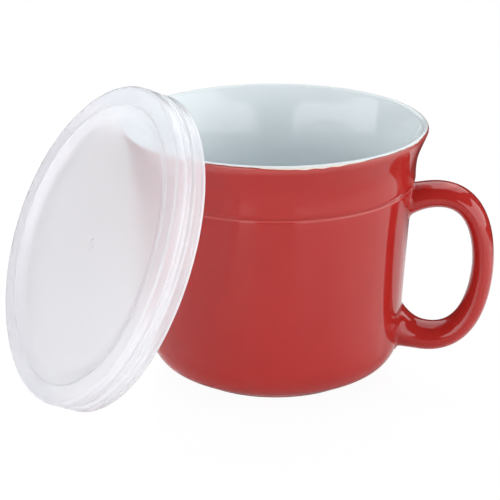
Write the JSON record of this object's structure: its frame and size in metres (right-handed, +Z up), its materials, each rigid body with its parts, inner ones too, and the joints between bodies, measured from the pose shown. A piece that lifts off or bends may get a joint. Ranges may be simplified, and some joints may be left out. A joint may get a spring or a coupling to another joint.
{
  "type": "lidded soup mug",
  "caption": "Wide stoneware soup mug with a creased collar, flared lip, ear handle and white glazed inside, and a milky press-on lid leaning on its lip.",
  "frame": {"origin": "centre of the foot ring, on the surface the mug stands on", "axes": "+Z up along the mug's axis, +X from the axis towards the handle, +Y completing the right-handed set"},
  "size_m": [0.1958, 0.1567, 0.1204],
  "materials": {
    "red_glaze": "gloss glaze over stoneware",
    "white_glaze": "gloss liner glaze",
    "milky_plastic": "translucent, lightly frosted"
  },
  "bodies": {
    "mug": {"mug_body": "red_glaze", "handle": "red_glaze", "liner_glaze": "white_glaze"},
    "lid": {"lid": "milky_plastic"}
  },
  "joints": [
    {"name": "lid_lift", "type": "slide", "parent": "mug", "child": "lid", "axis": [0, 0, 1], "range_m": [0, 0.11]}
  ]
}
